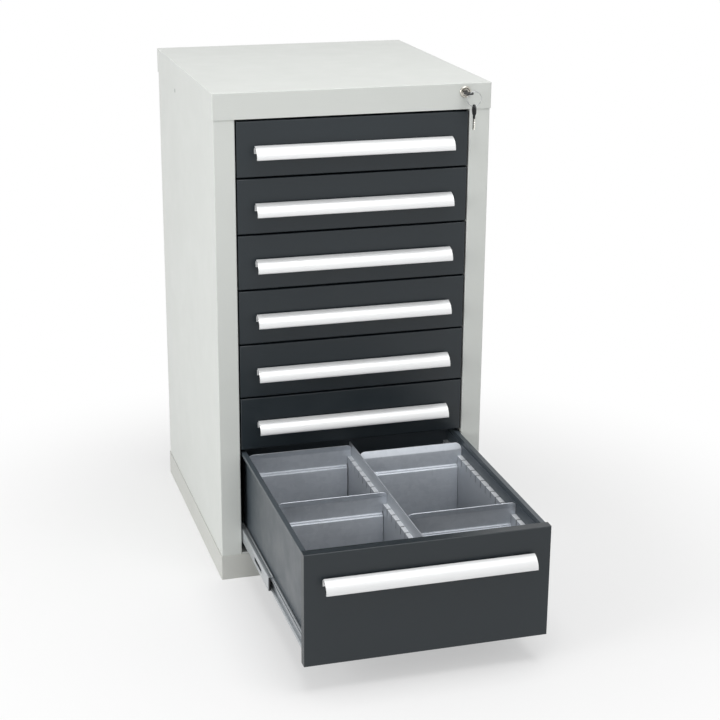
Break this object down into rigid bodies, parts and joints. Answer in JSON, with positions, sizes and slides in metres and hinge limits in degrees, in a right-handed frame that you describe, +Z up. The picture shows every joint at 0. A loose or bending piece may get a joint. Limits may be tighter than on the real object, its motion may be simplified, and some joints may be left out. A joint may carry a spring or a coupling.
{
  "type": "drawer cabinet",
  "caption": "Upright steel drawer cabinet with full-width bar handles, ball-bearing slides, a deep partitioned bottom drawer standing open, a plinth and a central lock.",
  "frame": {"origin": "on the floor, at the middle of the plinth's front foot flange, in the plane midway between the sides", "axes": "+X to the right seen from the front, +Y from the front to the back along the drawers' travel, +Z up"},
  "size_m": [0.5, 1.0135, 0.9],
  "materials": {
    "casing_paint": "light grey powder coat, satin",
    "plinth_paint": "light grey powder coat, satin",
    "front_paint": "anthracite powder coat, satin",
    "tray_paint": "anthracite powder coat, satin",
    "handle_aluminium": "clear anodised, fine brushed along its length",
    "galvanised_steel": "hot-dip galvanised sheet",
    "slide_zinc": "bright zinc plated",
    "divider_zinc": "galvanised sheet, fine rolled",
    "stop_plastic": "moulded, matt black",
    "lock_nickel": "nickel plated",
    "key_steel": "nickel plated blade under a black plastic bow",
    "ring_steel": "bright spring wire"
  },
  "bodies": {
    "casing": {"top_cover": "casing_paint", "side_panel_left": "casing_paint", "side_panel_right": "casing_paint", "back_panel": "casing_paint", "base_panel": "casing_paint", "plinth": "plinth_paint", "slide_uprights": "galvanised_steel", "cabinet_slide_members": "slide_zinc", "lock_housing": "lock_nickel"},
    "lock": {"lock_plug": "lock_nickel", "lock_cam": "galvanised_steel", "key": "key_steel"},
    "ring": {"key_ring": "ring_steel"},
    "hanging_key": {"spare_key": "key_steel"},
    "locking_rod": {"lock_rod": "galvanised_steel"},
    "drawer_1": {"drawer_1_tray": "tray_paint", "drawer_1_front": "front_paint", "drawer_1_handle": "handle_aluminium", "slide_1_drawer_members": "slide_zinc"},
    "slide_1_middle": {"slide_1_middle_members": "slide_zinc", "slide_1_end_stops": "stop_plastic"},
    "drawer_2": {"drawer_2_tray": "tray_paint", "drawer_2_front": "front_paint", "drawer_2_handle": "handle_aluminium", "slide_2_drawer_members": "slide_zinc"},
    "slide_2_middle": {"slide_2_middle_members": "slide_zinc", "slide_2_end_stops": "stop_plastic"},
    "drawer_3": {"drawer_3_tray": "tray_paint", "drawer_3_front": "front_paint", "drawer_3_handle": "handle_aluminium", "slide_3_drawer_members": "slide_zinc"},
    "slide_3_middle": {"slide_3_middle_members": "slide_zinc", "slide_3_end_stops": "stop_plastic"},
    "drawer_4": {"drawer_4_tray": "tray_paint", "drawer_4_front": "front_paint", "drawer_4_handle": "handle_aluminium", "slide_4_drawer_members": "slide_zinc"},
    "slide_4_middle": {"slide_4_middle_members": "slide_zinc", "slide_4_end_stops": "stop_plastic"},
    "drawer_5": {"drawer_5_tray": "tray_paint", "drawer_5_front": "front_paint", "drawer_5_handle": "handle_aluminium", "slide_5_drawer_members": "slide_zinc"},
    "slide_5_middle": {"slide_5_middle_members": "slide_zinc", "slide_5_end_stops": "stop_plastic"},
    "drawer_6": {"drawer_6_tray": "tray_paint", "drawer_6_front": "front_paint", "drawer_6_handle": "handle_aluminium", "slide_6_drawer_members": "slide_zinc"},
    "slide_6_middle": {"slide_6_middle_members": "slide_zinc", "slide_6_end_stops": "stop_plastic"},
    "drawer_7": {"drawer_7_tray": "tray_paint", "drawer_7_front": "front_paint", "drawer_7_handle": "handle_aluminium", "slide_7_drawer_members": "slide_zinc", "side_rails": "divider_zinc", "centre_divider": "divider_zinc", "cross_dividers": "divider_zinc"},
    "slide_7_middle": {"slide_7_middle_members": "slide_zinc", "slide_7_end_stops": "stop_plastic"}
  },
  "joints": [
    {"name": "drawer_1_slide", "type": "slide", "parent": "casing", "child": "drawer_1", "axis": [0, -1, 0], "range_m": [0, 0.45]},
    {"name": "slide_1_middle_run", "type": "slide", "parent": "casing", "child": "slide_1_middle", "axis": [0, -1, 0], "range_m": [0, 0.225]},
    {"name": "drawer_2_slide", "type": "slide", "parent": "casing", "child": "drawer_2", "axis": [0, -1, 0], "range_m": [0, 0.45]},
    {"name": "slide_2_middle_run", "type": "slide", "parent": "casing", "child": "slide_2_middle", "axis": [0, -1, 0], "range_m": [0, 0.225]},
    {"name": "drawer_3_slide", "type": "slide", "parent": "casing", "child": "drawer_3", "axis": [0, -1, 0], "range_m": [0, 0.45]},
    {"name": "slide_3_middle_run", "type": "slide", "parent": "casing", "child": "slide_3_middle", "axis": [0, -1, 0], "range_m": [0, 0.225]},
    {"name": "drawer_4_slide", "type": "slide", "parent": "casing", "child": "drawer_4", "axis": [0, -1, 0], "range_m": [0, 0.45]},
    {"name": "slide_4_middle_run", "type": "slide", "parent": "casing", "child": "slide_4_middle", "axis": [0, -1, 0], "range_m": [0, 0.225]},
    {"name": "drawer_5_slide", "type": "slide", "parent": "casing", "child": "drawer_5", "axis": [0, -1, 0], "range_m": [0, 0.45]},
    {"name": "slide_5_middle_run", "type": "slide", "parent": "casing", "child": "slide_5_middle", "axis": [0, -1, 0], "range_m": [0, 0.225]},
    {"name": "drawer_6_slide", "type": "slide", "parent": "casing", "child": "drawer_6", "axis": [0, -1, 0], "range_m": [0, 0.45]},
    {"name": "slide_6_middle_run", "type": "slide", "parent": "casing", "child": "slide_6_middle", "axis": [0, -1, 0], "range_m": [0, 0.225]},
    {"name": "drawer_7_slide", "type": "slide", "parent": "casing", "child": "drawer_7", "axis": [0, -1, 0], "range_m": [-0.45, 0]},
    {"name": "slide_7_middle_run", "type": "slide", "parent": "casing", "child": "slide_7_middle", "axis": [0, -1, 0], "range_m": [-0.225, 0]},
    {"name": "lock_turn", "type": "hinge", "parent": "casing", "child": "lock", "pos_m": [0.201, -0.0075, 0.8845], "axis": [0, 1, 0], "range_deg": [0, 90]},
    {"name": "locking_rod_lift", "type": "slide", "parent": "casing", "child": "locking_rod", "axis": [0, 0, 1], "range_m": [0, 0.01]},
    {"name": "key_ring_swing", "type": "hinge", "parent": "lock", "child": "ring", "pos_m": [0.201, -0.03, 0.8845], "axis": [0, -1, 0], "range_deg": [0, 90]},
    {"name": "spare_key_swing", "type": "hinge", "parent": "ring", "child": "hanging_key", "pos_m": [0.21019, -0.03, 0.87531], "axis": [0, -1, 0], "range_deg": [0, 140]}
  ],
  "couplings": [
    {"joint": "slide_1_middle_run", "follows": "drawer_1_slide", "ratio": 0.5},
    {"joint": "slide_2_middle_run", "follows": "drawer_2_slide", "ratio": 0.5},
    {"joint": "slide_3_middle_run", "follows": "drawer_3_slide", "ratio": 0.5},
    {"joint": "slide_4_middle_run", "follows": "drawer_4_slide", "ratio": 0.5},
    {"joint": "slide_5_middle_run", "follows": "drawer_5_slide", "ratio": 0.5},
    {"joint": "slide_6_middle_run", "follows": "drawer_6_slide", "ratio": 0.5},
    {"joint": "slide_7_middle_run", "follows": "drawer_7_slide", "ratio": 0.5},
    {"joint": "lock_turn", "follows": "locking_rod_lift", "rad_per_m": 157}
  ]
}
